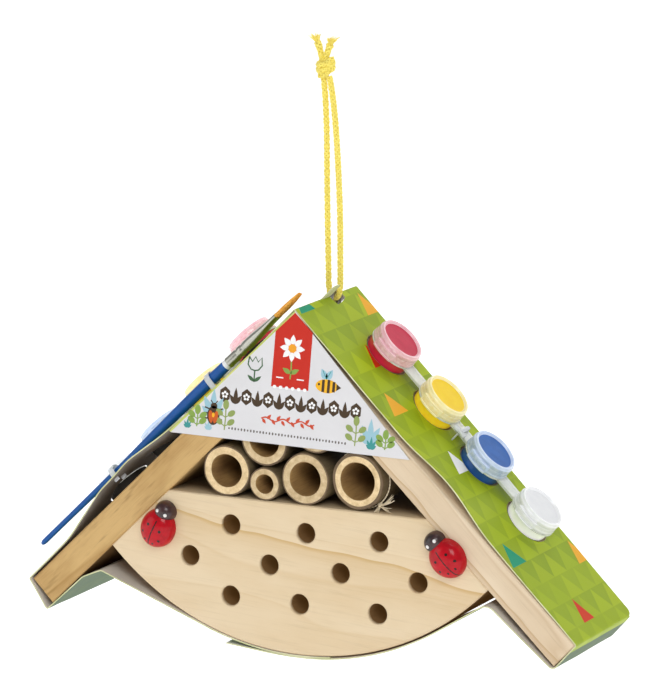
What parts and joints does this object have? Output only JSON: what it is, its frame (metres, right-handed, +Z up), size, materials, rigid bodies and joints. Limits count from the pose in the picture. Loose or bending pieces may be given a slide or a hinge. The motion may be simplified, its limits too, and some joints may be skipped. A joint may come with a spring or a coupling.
{
  "type": "insect hotel",
  "caption": "Small wooden insect hotel with a pitched roof, bamboo and drilled nest holes, hung on a cord in a card sleeve that carries paint pots and a brush",
  "frame": {"origin": "the point where a hook or nail holds the cord's loop, just under the knot", "axes": "+X to the viewer's right along the gable, +Y away from the viewer towards the back, +Z up"},
  "size_m": [0.2469, 0.0606, 0.2476],
  "materials": {
    "pine": "fine sawn, bare",
    "steel": "bright zinc",
    "bamboo": "natural skin, cut ends",
    "jute": "frayed",
    "red_paint": "glossy enamel with black dots",
    "printed_card": "printed outside, white inside",
    "clear_plastic": "translucent",
    "red_gouache": "wet paint under a lid",
    "yellow_gouache": "wet paint under a lid",
    "blue_gouache": "wet paint under a lid",
    "white_gouache": "wet paint under a lid",
    "tie_plastic": "clear nylon",
    "blue_plastic": "glossy",
    "ferrule": "bright",
    "bristle": "golden nylon hair",
    "yellow_cord": "braided"
  },
  "bodies": {
    "hanger": {"hanging_cord": "yellow_cord", "cord_knot": "yellow_cord"},
    "house": {"base_block": "pine", "roof_board_left": "pine", "roof_board_right": "pine", "roof_brads": "steel", "screw_eye": "steel", "bamboo_tube_1": "bamboo", "bamboo_tube_2": "bamboo", "bamboo_tube_3": "bamboo", "bamboo_tube_4": "bamboo", "bamboo_tube_5": "bamboo", "bamboo_tube_6": "bamboo", "bamboo_tube_7": "bamboo", "bamboo_twine": "jute", "ladybird_left": "red_paint", "ladybird_right": "red_paint", "card_sleeve": "printed_card", "pot_strip_left": "clear_plastic", "paint_left_1": "red_gouache", "paint_left_2": "yellow_gouache", "paint_left_3": "blue_gouache", "paint_left_4": "white_gouache", "strip_tie_left": "tie_plastic", "pot_strip_right": "clear_plastic", "paint_right_1": "red_gouache", "paint_right_2": "yellow_gouache", "paint_right_3": "blue_gouache", "paint_right_4": "white_gouache", "strip_tie_right": "tie_plastic", "brush_tie_upper": "tie_plastic", "brush_tie_lower": "tie_plastic"},
    "brush": {"brush_handle": "blue_plastic", "brush_ferrule": "ferrule", "brush_bristles": "bristle"},
    "lid_left_1": {"pot_lid_left_1": "clear_plastic"},
    "lid_left_2": {"pot_lid_left_2": "clear_plastic"},
    "lid_left_3": {"pot_lid_left_3": "clear_plastic"},
    "lid_left_4": {"pot_lid_left_4": "clear_plastic"},
    "lid_right_1": {"pot_lid_right_1": "clear_plastic"},
    "lid_right_2": {"pot_lid_right_2": "clear_plastic"},
    "lid_right_3": {"pot_lid_right_3": "clear_plastic"},
    "lid_right_4": {"pot_lid_right_4": "clear_plastic"}
  },
  "joints": [
    {"name": "house_swing", "type": "hinge", "parent": "hanger", "child": "house", "pos_m": [0, 0, -0.0845], "axis": [0, 1, 0], "range_deg": [-20, 20]},
    {"name": "pot_lid_left_1_hinge", "type": "hinge", "parent": "house", "child": "lid_left_1", "pos_m": [-0.03084, 0.0018, -0.10659], "axis": [-0.7062, 0, -0.708], "range_deg": [0, 120]},
    {"name": "pot_lid_left_2_hinge", "type": "hinge", "parent": "house", "child": "lid_left_2", "pos_m": [-0.05153, 0.0018, -0.12734], "axis": [-0.7062, 0, -0.708], "range_deg": [0, 120]},
    {"name": "pot_lid_left_3_hinge", "type": "hinge", "parent": "house", "child": "lid_left_3", "pos_m": [-0.07222, 0.0018, -0.14808], "axis": [-0.7062, 0, -0.708], "range_deg": [0, 120]},
    {"name": "pot_lid_left_4_hinge", "type": "hinge", "parent": "house", "child": "lid_left_4", "pos_m": [-0.09292, 0.0018, -0.16882], "axis": [-0.7062, 0, -0.708], "range_deg": [0, 120]},
    {"name": "pot_lid_right_1_hinge", "type": "hinge", "parent": "house", "child": "lid_right_1", "pos_m": [0.02632, 0.0116, -0.10517], "axis": [-0.7062, 0, 0.708], "range_deg": [0, 120]},
    {"name": "pot_lid_right_2_hinge", "type": "hinge", "parent": "house", "child": "lid_right_2", "pos_m": [0.04701, 0.0116, -0.12592], "axis": [-0.7062, 0, 0.708], "range_deg": [0, 120]},
    {"name": "pot_lid_right_3_hinge", "type": "hinge", "parent": "house", "child": "lid_right_3", "pos_m": [0.0677, 0.0116, -0.14666], "axis": [-0.7062, 0, 0.708], "range_deg": [0, 120]},
    {"name": "pot_lid_right_4_hinge", "type": "hinge", "parent": "house", "child": "lid_right_4", "pos_m": [0.08839, 0.0116, -0.1674], "axis": [-0.7062, 0, 0.708], "range_deg": [0, 120]},
    {"name": "brush_slide", "type": "slide", "parent": "house", "child": "brush", "axis": [0.7227, 0, 0.6911], "range_m": [0, 0.05]}
  ]
}
